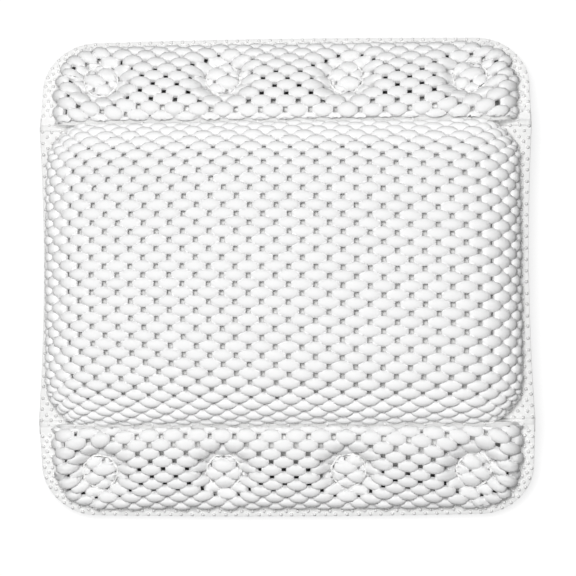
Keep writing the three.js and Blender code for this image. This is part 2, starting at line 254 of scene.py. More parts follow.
# The fold webs: lines on the main pouch's side and on the band's, and the ridge over them
FOLD_FROM = -1.2
FOLD_TO = 11.0
FOLD_RIDGE = 9.5
WEB_MAIN_LINES = (-3.4, -1.6, -0.9, -0.4, 0.0)
WEB_BAND_LINES = (0.5, 1.6, 3.6, 6.0)
WEB_HUMP = (0, 0.5, 0.85, 0.97, 1, 0.97, 0.92, 0.9, 0.9)
WEB_STEPS = 140
WEB_TRIM = 0.3
WEB_OVER = 0.05
WEB_THICKNESS = 0.5
WEB_MAIN_END = (138, 150)
WEB_BAND_END = (147, 154)
WEB_WITH_MAIN = 3
STUD_SIZE = (0.9, 0.8)
STUD_SPAN = (-158, 160)
STUD_PITCH = 6.4
STUD_STRAY = 0.3
STUD_ASIDE = 0.6

# Edges that stay sharp, in degrees, and points that merge, in metres
CRISP_ANGLE = 35
FILM_CRISP_ANGLE = 50
MERGE_WITHIN = 2e-5

# Colours of the surfaces
FOAM_PLAIN = (0.92, 0.92, 0.92)
# Painted shade of the net's crevices and the beads' undersides; beads near the welds lean towards it too
FOAM_PAINTED_SHADE = (0.77, 0.77, 0.77)
FOAM_HIGH = (0.895, 0.895, 0.895)
WELD_COLOR = (0.88, 0.88, 0.875)
# Painted shade: the welded vinyl made darker for the main flange, which faces the lamps squarely, and for
# the fold webs
SHADED_WELD_COLOR = (0.79, 0.79, 0.785)
FILM_COLOR = (0.86, 0.86, 0.85)
# Painted shade: a dark film where the inside of a hollow band lies in shadow
SHADED_FILM_COLOR = (0.16, 0.16, 0.16)
FIBRE_COLOR = (0.82, 0.82, 0.81)
VINYL_COLOR = (0.93, 0.96, 0.95)
FLOOR_COLOR = (0.2, 0.2, 0.2)
FLOOR_LIT = (0.25, 0.25, 0.25, 1)
FLOOR_GLOW = 0.8
WHITE = (1, 1, 1, 1)
AMBIENT = 0.12
BACKDROP = 1.0
FLOOR_HALF = 3000
FLOOR_AT = -0.2

# Lamps and camera, in metres and in degrees from straight above
LAMP_TARGET = (0, 0, 0.03)
CAMERA_TARGET = (0.0024, -0.0106, 0.04)
CAMERA_AWAY = 1.5
CAMERA_RIGHT = 3.0
CAMERA_BELOW = 4.0
CAMERA_ROLL = -0.29
CAMERA_SENSOR = 36
CAMERA_LENS = 142.4
CAMERA_CLIP = (0.05, 50)


def smooth(low, high, value):
    """A step from 0 at low to 1 at high with soft ends."""
    t = np.clip((value - low) / (high - low), 0, 1)
    return t * t * (3 - 2 * t)


# Meshes


def add_mesh(name, points, faces, material):
    """A smooth mesh object from points in millimetres."""
    mesh = bpy.data.meshes.new(name)
    mesh.from_pydata((np.asarray(points) * (1 / PER_METRE)).tolist(), [], faces)
    mesh.polygons.foreach_set("use_smooth", [True] * len(mesh.polygons))
    mesh.materials.append(material)
    mesh.update()
    obj = bpy.data.objects.new(name, mesh)
    bpy.context.scene.collection.objects.link(obj)
    return obj


def crisp(obj, angle=CRISP_ANGLE):
    """Merges points that coincide and keeps edges sharper than an angle in degrees."""
    work = bmesh.new()
    work.from_mesh(obj.data)
    bmesh.ops.remove_doubles(work, verts=work.verts, dist=MERGE_WITHIN)
    work.to_mesh(obj.data)
    work.free()
    obj.data.set_sharp_from_angle(angle=math.radians(angle))


def grid_faces(rows, columns, offset=0, flip=False, closed=False):
    """Quads of a grid of points stored row by row."""
    faces = []
    span = columns if closed else columns - 1
    for i in range(rows - 1):
        for j in range(span):
            k = (j + 1) % columns
            quad = [i * columns + j, i * columns + k, (i + 1) * columns + k, (i + 1) * columns + j]
            faces.append([offset + n for n in (reversed(quad) if flip else quad)])
    return faces


def revolve(profile, segments):
    """Points and faces of a profile of (radius, height) pairs turned round the Z axis."""
    turns = np.arange(segments) * 2 * math.pi / segments
    points = []
    for r, z in profile:
        points.append(np.stack([r * np.cos(turns), r * np.sin(turns), np.full(segments, z)], 1))
    return np.concatenate(points), grid_faces(len(profile), segments, closed=True)


def joined(parts):
    """Several (points, faces) as one."""
    points, faces, base = [], [], 0
    for some, quads in parts:
        points.append(np.asarray(some, float))
        faces += [[base + n for n in face] for face in quads]
        base += len(some)
    return np.concatenate(points), faces


def sheet_points(surface, columns, rows):
    """A grid of points on a surface of two shares from -1 to 1."""
    p, q = np.meshgrid(np.linspace(-1, 1, columns), np.linspace(-1, 1, rows))
    return surface(p.ravel(), q.ravel())


def rim_loop(columns, rows):
    """Places of a grid's border, once round."""
    loop = list(range(columns)) + [r * columns + columns - 1 for r in range(1, rows)]
    loop += [(rows - 1) * columns + c for c in range(columns - 2, -1, -1)]
    return loop + [r * columns for r in range(rows - 2, 0, -1)]


def closed_sheet(top, bottom, columns, rows):
    """A body between two grids of points, joined along their borders."""
    loop = rim_loop(columns, rows)
    size = len(loop)
    base = len(top)
    faces = grid_faces(rows, columns) + grid_faces(rows, columns, offset=base, flip=True)
    for k in range(size):
        n = (k + 1) % size
        faces.append([loop[k] + base, loop[n] + base, loop[n], loop[k]])
    return np.concatenate([top, bottom]), faces


# Surfaces that the net lies on


def round_corner(x, y, half_width, half_depth, radius):
    """Plan points of a rectangle, moved so that its corners become round."""
    a = np.clip((np.abs(x) - half_width + radius) / radius, 0, CORNER_OVER)
    b = np.clip((np.abs(y) - half_depth + radius) / radius, 0, CORNER_OVER)
    inner_x = np.minimum(np.abs(x), half_width - radius)
    inner_y = np.minimum(np.abs(y), half_depth - radius)
    new_x = inner_x + radius * a * np.sqrt(1 - b * b / 2)
    new_y = inner_y + radius * b * np.sqrt(1 - a * a / 2)
    return np.sign(x) * new_x, np.sign(y) * new_y


class Roll:
    """Half of a pouch's cross-section, followed along the net from the middle to the weld.
    Maps a share of its length to a place across and a share of the pouch's height."""

    def __init__(self, weld_half, radius, turn, dome):
        lean = 0.0
        for _ in range(LEAN_ROUNDS):
            self.flat = weld_half - radius * (math.sin(turn) - math.sin(lean))
            lean = 2 * dome / self.flat
        self.radius = radius
        self.dome = dome
        self.lean = lean
        self.weld_half = weld_half
        self.length = self.flat + radius * (turn - lean)
        self.drop = dome + radius * (math.cos(lean) - math.cos(turn))

    def __call__(self, t):
        run = np.minimum(np.abs(t), 1) * self.length
        angle = self.lean + np.maximum(0, run - self.flat) / self.radius
        reach = np.minimum(run, self.flat) + self.radius * (np.sin(angle) - math.sin(self.lean))
        fall = self.dome * (np.minimum(run, self.flat) / self.flat) ** 2
        fall = fall + self.radius * (math.cos(self.lean) - np.cos(angle))
        reach = reach + np.maximum(0, np.abs(t) - 1) * self.length
        return np.sign(t) * reach, 1 - fall / self.drop


def draw_in(y):
    """How far the sheet's sides come in towards the middle of the main pouch."""
    return SIDE_DRAW_IN * np.maximum(0, 1 - (y / HALF_DEPTH) ** 2)


class MainPouch:
    """The middle pouch's net or a layer under it, in the row frame. u and v run along the net."""

    first_v = MAIN_NET_FROM

    def __init__(self, inset):
        self.inset = inset
        self.side = Roll(HALF_WIDTH - inset, SIDE_RADIUS - inset, SIDE_TURN, DOME)
        self.end = Roll(HALF_DEPTH - inset, END_RADIUS - inset, END_TURN, DOME)

    def at(self, p, q):
        """Points at shares of the two cross-sections."""
        x, hx = self.side(p)
        y, hy = self.end(q)
        weld = self.side.weld_half
        over_x = np.where(np.abs(p) <= 1, np.maximum(0, np.abs(x) - weld), 0)
        over_y = np.where(np.abs(q) <= 1, np.maximum(0, np.abs(y) - self.end.weld_half), 0)
        x = np.sign(x) * (np.abs(x) - over_x * (1 - hy))
        y = np.sign(y) * (np.abs(y) - over_y * (1 - hx))
        x, y = round_corner(x, y, weld, self.end.weld_half, MAIN_CORNER - self.inset)
        z = WELD_TOP + (CROWN - WELD_TOP - self.inset) * hx * hy
        sway = 1 - (1 - np.clip(hx * hy, 0, 1)) ** 2
        x = x * (1 - SIDE_DRAW_IN / HALF_WIDTH) + LEAN_X * sway
        return np.stack([x, y + LEAN_Y * sway, BELLY + z], -1)

    def net(self, u, v):
        """Points at places along the net."""
        return self.at(u / self.side.length, v / self.end.length)

    def covers(self, u, v):
        """Whether the net has a bead at a place."""
        return self.weld_distance(u, v) > NET_PAST_WELD

    def weld_distance(self, u, v):
        """Distance from the weld round the pouch."""
        return np.minimum(self.side.length - np.abs(u), self.end.length - np.abs(v))

    def openness(self, u, v):
        """How far a hole opens, from 0 at the weld to 1."""
        return smooth(*MAIN_OPEN, self.weld_distance(u, v))

    def by_ring(self, u, v):
        """Whether a bead lies near a round weld. This pouch has none."""
        return np.zeros(np.shape(u), bool)


def ring_distances(x, y):
    """Distances from the middles of a band's round welds, one weld after another."""
    return [np.hypot(x - cup_at, y - RING_LINE) for cup_at in CUPS_AT]


class BandPouch:
    """A band's net or a layer under it, in the band's own frame: y out from the fold line.
    u runs along the fold line, v up the wall beside it and down to the outer weld."""

    first_v = BAND_NET_FROM

    def __init__(self, inset):
        self.inset = inset
        self.side = Roll(BAND_HALF - inset, BAND_END_RADIUS - inset, BAND_END_TURN, BAND_DOME)
        self.high = BAND_CROWN - WELD_TOP - inset
        wall = np.linspace(0, math.pi / 2, WALL_STEPS)
        wall_out = BAND_CREST - (BAND_CREST - BAND_WALL - inset) * np.cos(wall)
        slope = np.linspace(0, math.pi / 2, SLOPE_STEPS)[1:]
        slope_out = BAND_CREST + (BAND_OUTER - inset - BAND_CREST) * np.sin(slope)
        self.out = np.concatenate([wall_out, slope_out])
        sill = BAND_SILL / self.high
        self.up = np.concatenate([sill + (1 - sill) * np.sin(wall), np.cos(slope)])
        steps = np.hypot(np.diff(self.out), np.diff(self.up * self.high))
        self.run = np.concatenate([[0], np.cumsum(steps)])
        self.length = self.run[-1]

    def corner(self, x, y):
        """Distance from the centre of an outer corner's rounding, as a share of its radius."""
        radius = CORNER_RADIUS - FLANGE - self.inset
        a = np.maximum(0, np.abs(x) - (BAND_HALF - self.inset - radius))
        b = np.maximum(0, y - (BAND_OUTER - self.inset - radius))
        return np.hypot(a, b) / radius * (a > 0) * (b > 0), radius

    def plan(self, p, v):
        """Plan places, and the shares of the height that the two cross-sections give."""
        x, hx = self.side(p)
        y = np.interp(v, self.run, self.out) + np.minimum(0, v) + np.maximum(0, v - self.length)
        return x, y, hx, np.interp(v, self.run, self.up)

    def at(self, p, v):
        """Points at a share of the section along the band and a place across it. The net is drawn down
        to each round weld and rises again over the pocket inside it."""
        x, y, hx, hy = self.plan(p, v)
        share, _ = self.corner(x, y)
        round_off = np.sqrt(1 - np.clip((share - CORNER_FROM) / (1 - CORNER_FROM), 0, 1) ** 2)
        z = self.high * hx * hy * round_off
        for d in ring_distances(x, y):
            outside = (d - RING_RADIUS - RING_HALF) / (TUFT_RADIUS - RING_RADIUS - RING_HALF)
            share = np.clip(outside, 0, 1)
            low = np.minimum(z, RING_LIFT)
            falling = low + (z - low) * (1 - (1 - share) ** TUFT_POWER)
            roof = np.clip(1 - (d / (RING_RADIUS - RING_HALF)) ** POCKET_FLAT, 0, 1) ** POCKET_ROUND
            inside = POCKET_SILL + (POCKET_HEIGHT - self.inset - WELD_TOP - POCKET_SILL) * roof
            z = np.where(d < RING_RADIUS, inside, falling)
        return np.stack([x, y, WELD_TOP + z], -1)

    def net(self, u, v):
        """Points at places along the net."""
        return self.at(u / self.side.length, v)

    def covers(self, u, v):
        """Whether the net has a bead at a place."""
        inside = self.weld_distance(u, np.maximum(v, BAND_FOLD_CLEAR), rings=False) > NET_PAST_WELD
        return inside & (v > BAND_BEADS_FROM)

    def weld_distance(self, u, v, rings=True):
        """Distance from the weld round the pouch and from the round welds."""
        edge = np.minimum(self.side.length - np.abs(u), np.minimum(v, self.length - v))
        x, y, _, _ = self.plan(u / self.side.length, v)
        share, radius = self.corner(x, y)
        edge = np.minimum(edge, (1 - share) * radius)
        for d in ring_distances(x, y) if rings else ():
            edge = np.minimum(edge, RING_STEEP * (np.abs(d - RING_RADIUS) - RING_HALF))
        return edge

    def openness(self, u, v):
        """How far a hole opens, from 0 at a weld to 1. The holes over a pocket open in part."""
        rim = np.minimum(self.side.length - np.abs(u), self.length - v)
        x, y, _, _ = self.plan(u / self.side.length, v)
        over_pocket = np.min(ring_distances(x, y), axis=0) < RING_RADIUS
        clear = np.where(over_pocket, POCKET_OPEN, smooth(*RING_OPEN, self.weld_distance(u, v)))
        return np.minimum(smooth(*BAND_OPEN, rim), clear)

    def by_ring(self, u, v):
        """Whether a bead lies near a round weld."""
        x, y, _, _ = self.plan(u / self.side.length, v)
        near = [np.abs(d - RING_RADIUS) < RING_FINE for d in ring_distances(x, y)]
        return np.any(near, axis=0)


# The foam net


def bead_tile(rings, bead):
    """One bead of the net in half pitches, with its share of the four holes round it, in rings of points.
    Returns points (x, y, height), the place of the hole that each lies on or its own, whether it lies on
    the edge, and faces."""
    wide, high, fullness, at_hole = bead
    quarter = [(1 - wide, 0), (1 - wide, high), (0.5, 0.5), (wide, 1 - high)]
    half = quarter + [(0, 1 - high)] + [(-x, y) for x, y in quarter[:0:-1]]
    outline = half + [(-x, -y) for x, y in half]
    reach_x = 1 - wide - HOLE_MARGIN
    reach_y = 1 - high - HOLE_MARGIN

    def height(x, y):
        inside = 1 - abs(x / reach_x) ** fullness - abs(y / reach_y) ** fullness
        return at_hole + (1 - at_hole) * max(0, inside) ** BEAD_POWER

    edge = np.array([(x, y, height(x, y)) for x, y in outline])
    neck = np.abs(edge[:, 0]) == np.abs(edge[:, 1])
    count = len(edge)
    points = [(0, 0, 1)]
    for r in rings:
        points += [(x * r, y * r, height(x * r, y * r)) for x, y, _ in edge]
    upper = len(points)
    points += [tuple(p) for p in edge]
    lower = len(points)
    points += [(x, y, -HOLE_WALL) for x, y, _ in edge]
    points.append((0, 0, -1))
    points = np.array(points, float)
    on_edge = (np.arange(len(points)) >= upper) & (np.arange(len(points)) < lower + count)
    sideways = np.abs(points[:, 0]) > np.abs(points[:, 1])
    hole = np.sign(points[:, :2]) * np.stack([sideways, ~sideways], 1)
    on_hole = on_edge & (np.abs(points[:, 0]) != np.abs(points[:, 1]))
    hole = np.where(on_hole[:, None], hole, points[:, :2])
    faces = [[0, 1 + k, 1 + (k + 1) % count] for k in range(count)]
    faces += grid_faces(len(rings) + 1, count, offset=1, flip=True, closed=True)
    faces += [[lower + count, lower + (k + 1) % count, lower + k] for k in range(count)]
    for k in range(count):
        n = (k + 1) % count
        if not neck[k] and not neck[n]:
            faces.append([upper + k, lower + k, lower + n, upper + n])
    return points, hole, on_edge, faces


class Weave:
    """The net's lattice as it lies on a pouch: the place of one hole, half pitches, slants, and the drape,
    which moves places along u and along v by amounts times powers of u and v as shares of a reach."""

    def __init__(self, hole, pitch, slant, reach, drape_u, drape_v):
        self.hole = hole
        self.pitch = pitch
        self.slant = slant
        self.reach = reach
        self.drape_u = drape_u
        self.drape_v = drape_v

    def __call__(self, a, b):
        u = self.hole[0] + a * self.pitch[0] + b * self.slant[0]
        v = self.hole[1] + b * self.pitch[1] + a * self.slant[1]
        x = np.clip(u / self.reach[0], -DRAPE_LIMIT, DRAPE_LIMIT)
        y = np.clip(v / self.reach[1], -DRAPE_LIMIT, DRAPE_LIMIT)
        u = u + sum(amount * x**m * y**n for m, n, amount in self.drape_u)
        v = v + sum(amount * x**m * y**n for m, n, amount in self.drape_v)
        return u, v


def beads_on(pouch, weave):
    """Lattice places of the beads that lie on a pouch."""
    across = np.arange(-LATTICE_ACROSS, LATTICE_ACROSS + 1)
    along = np.arange(-LATTICE_ALONG, LATTICE_ALONG + 1)
    a, b = np.meshgrid(across, along)
    is_bead = (a + b) % 2 == 1
    a, b = a[is_bead], b[is_bead]
    kept = pouch.covers(*weave(a, b))
    return a[kept], b[kept]


def bead_table(a, b, fine, bead):
    """Every bead's points in the lattice, the fine beads by the round welds last. Returns one row a point:
    its place, its hole's place, its height and a key that points of neighbours share along their edge.
    Returns also the count, points and faces of each kind of bead."""
    rows, kinds = [], []
    for rings, chosen in ((BEAD_RINGS, ~fine), (FINE_RINGS, fine)):
        tile, hole, on_edge, tile_faces = bead_tile(rings, bead)
        count = int(chosen.sum())
        spread = rng.standard_normal((count, 1)).clip(-UNEVEN_LIMIT, UNEVEN_LIMIT)
        swell = 1 + BEAD_UNEVEN * spread
        height = tile[None, :, 2] * np.where(on_edge[None, :], 1, swell)
        at = np.stack([a[chosen], b[chosen]], 1)[:, None, :]
        key = np.where(on_edge[None, :], tile[None, :, 2], INNER_KEY + height)
        places = [at + tile[None, :, :2], at + hole[None]]
        block = np.concatenate(places + [height[..., None], key[..., None]], 2)
        rows.append(block.reshape(-1, block.shape[2]))
        kinds.append((count, len(tile), tile_faces))
    return np.concatenate(rows), kinds


def wander(u, v, waves):
    """Small shifts, so that the net's rows do not run straight."""
    (u_length, u_phase), (v_length, v_phase), (fine_u, fine_v) = waves
    broad = np.sin(u / u_length + u_phase) * np.sin(v / v_length + v_phase)
    return WANDER * (broad + WANDER_FINE * np.sin(u / fine_u + v / fine_v))


def net_normals(pouch, u, v):
    ahead = pouch.net(u + NORMAL_STEP, v) - pouch.net(u - NORMAL_STEP, v)
    aside = pouch.net(u, v + NORMAL_STEP) - pouch.net(u, v - NORMAL_STEP)
    normal = np.cross(ahead, aside)
    return normal / np.maximum(SHORTEST, np.linalg.norm(normal, axis=1, keepdims=True))


def foam_net(name, pouch, weave, bead, place):
    """The net draped on a pouch. place maps the pouch's frame to the row frame."""
    a, b = beads_on(pouch, weave)
    table, kinds = bead_table(a, b, pouch.by_ring(*weave(a, b)), bead)
    keys = np.round(table[:, [0, 1, 5]] * KEY_STEPS).astype(np.int64)
    _, first, index = np.unique(keys, axis=0, return_index=True, return_inverse=True)
    index = index.ravel()
    a, b, hole_a, hole_b, height, key = table[first].T
    open_share = HOLE_SHUT + (1 - HOLE_SHUT) * pouch.openness(*weave(hole_a, hole_b))
    a = hole_a + (a - hole_a) * open_share
    b = hole_b + (b - hole_b) * open_share
    u, v = weave(a, b)
    u, v = u + wander(u, v, WANDER_U), v + wander(u, v, WANDER_V)
    cut = v < pouch.first_v
    v = np.maximum(v, pouch.first_v)
    full = BEAD_AT_WELD + (1 - BEAD_AT_WELD) * smooth(*BEAD_RISE, pouch.weld_distance(u, v))
    lift = np.where(height > 0, BEAD_UP, BEAD_DOWN) * height * full
    points = place(pouch.net(u, v) + net_normals(pouch, u, v) * lift[:, None])
    faces, base = [], 0
    for count, size, tile_faces in kinds:
        for k in range(count):
            here = index[base + k * size : base + (k + 1) * size]
            faces += [here[face].tolist() for face in tile_faces if not cut[here[face]].all()]
        base += count * size
    net = add_mesh(name, points, faces, foam)
    net.data.set_sharp_from_angle(angle=BEAD_CREASE)
    # Painted shade: points in the crevices and under the beads get the dark foam colour, and beads darken
    # towards the welds
    swollen = (key > EDGE_KEY_LIMIT) & (height > 0)
    unshaded = swollen * np.clip((full - BEAD_AT_WELD) / SHADE_FADE_RISE, SHADE_FADE_LEAST, 1)
    value = net.data.attributes.new(CREVICE_SHADE_VALUE, "FLOAT", "POINT")
    value.data.foreach_set("value", unshaded.astype(np.float32))
    return net


# Materials


def principled(name, color, roughness, specular):
    material = bpy.data.materials.new(name)
    material.use_nodes = True
    shader = material.node_tree.nodes["Principled BSDF"]
    shader.inputs["Base Color"].default_value = (*color, 1)
    shader.inputs["Roughness"].default_value = roughness
    shader.inputs["Specular IOR Level"].default_value = specular
    return material, shader


def add_bump(material, shader, scale, strength, distance, detail=3.0):
    """Roughens a surface with noise."""
    nodes, links = material.node_tree.nodes, material.node_tree.links
    place = nodes.new("ShaderNodeTexCoord")
    noise = nodes.new("ShaderNodeTexNoise")
    noise.inputs["Scale"].default_value = scale
    noise.inputs["Detail"].default_value = detail
    bump = nodes.new("ShaderNodeBump")
    bump.inputs["Strength"].default_value = strength
    bump.inputs["Distance"].default_value = distance
    links.new(place.outputs["Object"], noise.inputs["Vector"])
    links.new(noise.outputs["Fac"], bump.inputs["Height"])
    links.new(bump.outputs["Normal"], shader.inputs["Normal"])


def add_painted_shade(material, shader, attribute, low, high):
    """Paints shade on a surface: colours it from low, the painted shade, to high by a value that its points
    carry.
    """
    nodes, links = material.node_tree.nodes, material.node_tree.links
    value = nodes.new("ShaderNodeAttribute")
    value.attribute_name = attribute
    mix = nodes.new("ShaderNodeMix")
    mix.data_type = "RGBA"
    mix.inputs[6].default_value = (*low, 1)
    mix.inputs[7].default_value = (*high, 1)
    links.new(value.outputs["Fac"], mix.inputs[0])
    links.new(mix.outputs[2], shader.inputs["Base Color"])


def pressed_vinyl(name, color, roughness, specular):
    """Vinyl sheet as a weld leaves it."""
    material, shader = principled(name, color, roughness, specular)
    add_bump(material, shader, scale=500, strength=0.15, distance=0.0004)
    return material


foam, foam_shader = principled("foam_net", FOAM_PLAIN, roughness=0.7, specular=0.12)
add_bump(foam, foam_shader, scale=1300, strength=0.5, distance=0.0005)
# Painted shade in the net's crevices and under its beads, and darker towards its welds
add_painted_shade(foam, foam_shader, CREVICE_SHADE_VALUE, FOAM_PAINTED_SHADE, FOAM_HIGH)
weld = pressed_vinyl("welded_vinyl", WELD_COLOR, roughness=0.55, specular=0.1)
# The welded vinyl again, darker as painted shade
shaded_weld = pressed_vinyl("shaded_weld_vinyl", SHADED_WELD_COLOR, roughness=0.5, specular=0.12)
seam = pressed_vinyl("pressed_vinyl", WELD_COLOR, roughness=0.28, specular=0.5)
film, film_shader = principled("back_film", FILM_COLOR, roughness=0.35, specular=0.4)
add_bump(film, film_shader, scale=60, strength=0.1, distance=0.002)
# A dark film as painted shade, for the shadowed inside of the hollow bands
shaded_film, _ = principled("film_painted_shade", SHADED_FILM_COLOR, roughness=0.7, specular=0.2)
fibre, fibre_shader = principled("fibre_fill", FIBRE_COLOR, roughness=0.95, specular=0.1)
add_bump(fibre, fibre_shader, scale=700, strength=0.6, distance=0.001, detail=6.0)
vinyl, vinyl_shader = principled("clear_vinyl", VINYL_COLOR, roughness=0.12, specular=0.5)
vinyl_shader.inputs["Transmission Weight"].default_value = 0.75
vinyl_shader.inputs["IOR"].default_value = 1.5


# Main pouch


def stay(points):
    """The main pouch's frame is the row frame."""
    return points


main_weave = Weave(
    hole=(-54.3, 54.4),
    pitch=(8.898, 5.788),
    slant=(0.033, -0.140),
    reach=(183, 112),
    drape_u=((2, 0, 4.0), (3, 0, 0.5), (1, 2, -5.6), (1, 4, -6.9), (0, 2, 1.2), (2, 1, 0.6), (2, 2, 0.8)),
    drape_v=(
        (0, 3, 0.8),
        (2, 1, -3.7),
        (2, 0, -1.8),
        (4, 0, 2.8),
        (3, 0, -0.8),
        (1, 1, 1.9),
        (0, 2, -0.6),
        (1, 2, -2.1),
        (1, 3, 0.7),
    ),
)
main_net = foam_net("main_net", MainPouch(NET_INSET), main_weave, MAIN_BEAD, stay)
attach(main_net, "main_pillow")
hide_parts("main_cover")


def belly(p, q, height):
    """The film of the main pouch behind, at a height above its lower face."""
    x, y = round_corner(p * HALF_WIDTH, q * HALF_DEPTH, HALF_WIDTH, HALF_DEPTH, MAIN_CORNER)
    depth = BELLY_FLAT * (1 - p**BELLY_SIDE_POWER) * np.maximum(0, 1 - q * q) ** BELLY_END_POWER
    depth = 1 - np.log1p(np.exp((1 - depth) * BELLY_BLEND)) / BELLY_BLEND
    depth = np.clip(depth, 0, 1)
    return np.stack([x * (1 - draw_in(y) / HALF_WIDTH), y, BELLY + height - BELLY * depth], -1)


def pad():
    """The fibre pad: a skin under the net and a skin over the film, joined along their edge."""

    def over_film(p, q):
        return belly(p * FILL_SIDES, q * FILL_ENDS, FILM + FILL_OVER_FILM)

    top = sheet_points(MainPouch(NET_INSET + FILL_UNDER).at, *PAD_GRID)
    bottom = sheet_points(over_film, *PAD_GRID)
    return closed_sheet(top, bottom, *PAD_GRID)


main_pad = add_mesh("main_pad", *pad(), fibre)
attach(main_pad, "main_pillow")
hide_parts("main_fill")


def main_film():
    """The main pouch's film, between its two faces."""
    over = sheet_points(lambda p, q: belly(p, q, FILM), *FILM_GRID)
    under = sheet_points(lambda p, q: belly(p, q, 0), *FILM_GRID)
    return closed_sheet(over, under, *FILM_GRID)


main_back = add_mesh("main_film", *main_film(), film)
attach(main_back, "main_pillow")
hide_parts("main_back")


# Welded flanges with raised dots


def flange(inner, outer, level, thickness):
    """A flat ring between two loops of plan points, with a rounded outer edge."""
    section = [(share, z + level) for share, z in LIP_TOP]
    section += [(share, -thickness + z + level) for share, z in LIP_UNDER]
    points = []
    for share, z in section:
        plan = inner + (outer - inner) * share
        points.append(np.column_stack([plan, np.full(len(plan), z)]))
    return np.concatenate(points), grid_faces(len(section), len(inner), closed=True)


def dots(places, level, size=DOT_SIZE):
    """Small domes at plan places, of a radius and a height."""
    radius, height = size
    turns = np.arange(DOT_SEGMENTS) * 2 * math.pi / DOT_SEGMENTS
    points = []
    for r, z in DOT_SECTION:
        points.append(np.column_stack([np.cos(turns) * r, np.sin(turns) * r, np.full(DOT_SEGMENTS, z)]))
    points.append(np.array([[0, 0, 1.0]]))
    dome = np.concatenate(points) * [radius, radius, height]
    top = len(dome) - 1
    base = top - DOT_SEGMENTS
    faces = grid_faces(len(DOT_SECTION), DOT_SEGMENTS, closed=True)
    faces += [[base + k, base + (k + 1) % DOT_SEGMENTS, top] for k in range(DOT_SEGMENTS)]
    return joined([(dome + [x, y, level], faces) for x, y in places])


def dotted_rows(path, offsets):
    """Places along a path of plan points, in rows at offsets to its left, every second row half a pitch
    on."""
    steps = np.hypot(*np.diff(path, axis=0).T)
    run = np.concatenate([[0], np.cumsum(steps)])

    def along(at):
        return np.stack([np.interp(at, run, path[:, 0]), np.interp(at, run, path[:, 1])], 1)

    places = []
    for row, offset in enumerate(offsets):
        at = np.arange(DOT_PITCH * (DOT_FIRST + 0.5 * (row % 2)), run[-1], DOT_PITCH)
        at = at + rng.normal(0, DOT_STRAY, len(at))
        x, y = along(at).T
        ahead = along(at + 1) - along(at - 1)
        ahead /= np.linalg.norm(ahead, axis=1, keepdims=True)
        places += list(np.stack([x - ahead[:, 1] * offset, y + ahead[:, 0] * offset], 1))
    return places


def sheet_half(side, y):
    """From the middle line to the sheet's edge, a little less on the right."""
    return WIDTH / 2 - SHEET_TRIM - draw_in(y) - np.where(np.sign(side) > 0, SHEET_LESS, 0)


def square_loop(count):
    """Points once round a square from -1 to 1, anticlockwise."""
    turn = np.linspace(-1, 1, count)
    one = np.ones(count)
    near = np.column_stack([turn, -one])
    right = np.column_stack([one, turn])[1:-1]
    far = np.column_stack([-turn, one])
    left = np.column_stack([-one, -turn])[1:-1]
    return np.concatenate([near, right, far, left])


def main_flange():
    """The flange about the main pouch, with dots along its two sides and in its corners."""
    p, q = square_loop(SQUARE_STEPS).T
    pouch = MainPouch(FLANGE_UNDER_NET)
    weld_line = pouch.at(p, q)[:, :2]
    across = np.clip(pouch.side(p)[0] / pouch.side.weld_half, -1, 1)
    along = np.clip(pouch.end(q)[0] / pouch.end.weld_half, -1, 1)
    y = along * (MAIN_DEPTH / 2 - FLANGE_TRIM)
    outer = np.column_stack([across * sheet_half(across, y), y])
    level = BELLY + WELD_TOP
    parts = [flange(weld_line, outer, level, WELD_TOP - FILM)]
    for side in (1, -1):
        y = np.linspace(-DOT_PATH_HALF, DOT_PATH_HALF, DOT_PATH_STEPS) * side
        path = np.column_stack([side * sheet_half(side, y), y])
        places = np.array(dotted_rows(path, MAIN_DOT_ROWS))
        a = np.abs(places[:, 0]) + SIDE_DRAW_IN - (HALF_WIDTH - MAIN_CORNER)
        b = np.abs(places[:, 1]) - (HALF_DEPTH - MAIN_CORNER)
        from_weld = np.hypot(np.maximum(0, a), np.maximum(0, b)) - MAIN_CORNER
        parts.append(dots(places[from_weld > DOT_FROM_WELD], level))
    return joined(parts)


# The main flange takes the darker vinyl, as painted shade
main_rim = add_mesh("main_flange", *main_flange(), shaded_weld)
crisp(main_rim)
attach(main_rim, "main_pillow")


# Bands


def band_place(sign):
    """Maps a band's own frame to the row frame: the upper band with sign 1, the lower with sign -1."""
    s, c = math.sin(DROOP), math.cos(DROOP)

    def place(points):
        x, y, z = points[..., 0], points[..., 1], points[..., 2]
        out = MAIN_DEPTH / 2 + y * c + z * s
        return np.stack([sign * x, sign * out, BELLY - y * s + z * c], -1)

    return place


def band_outline(half_width, inner, outer, radius):
    """Plan loop of a band, from the fold line's left end anticlockwise."""
    turn = np.linspace(0, math.pi / 2, CORNER_POINTS)
    corner_x = half_width - radius
    corner_y = outer - radius
    fold = np.linspace(-half_width, half_width, FOLD_POINTS)[:-1]
    rise = np.linspace(inner, corner_y, SIDE_POINTS)[:-1]
    far = np.linspace(corner_x, -corner_x, FAR_POINTS)[1:-1]
    fall = np.linspace(corner_y, inner, SIDE_POINTS)[1:]
    return np.concatenate(
        [
            np.column_stack([fold, np.full(len(fold), inner)]),
            np.column_stack([np.full(len(rise), half_width), rise]),
            np.column_stack([corner_x + radius * np.cos(turn), corner_y + radius * np.sin(turn)]),
            np.column_stack([far, np.full(len(far), outer)]),
            np.column_stack([-corner_x - radius * np.sin(turn), corner_y + radius * np.cos(turn)]),
            np.column_stack([np.full(len(fall), -half_width), fall]),
        ]
    )


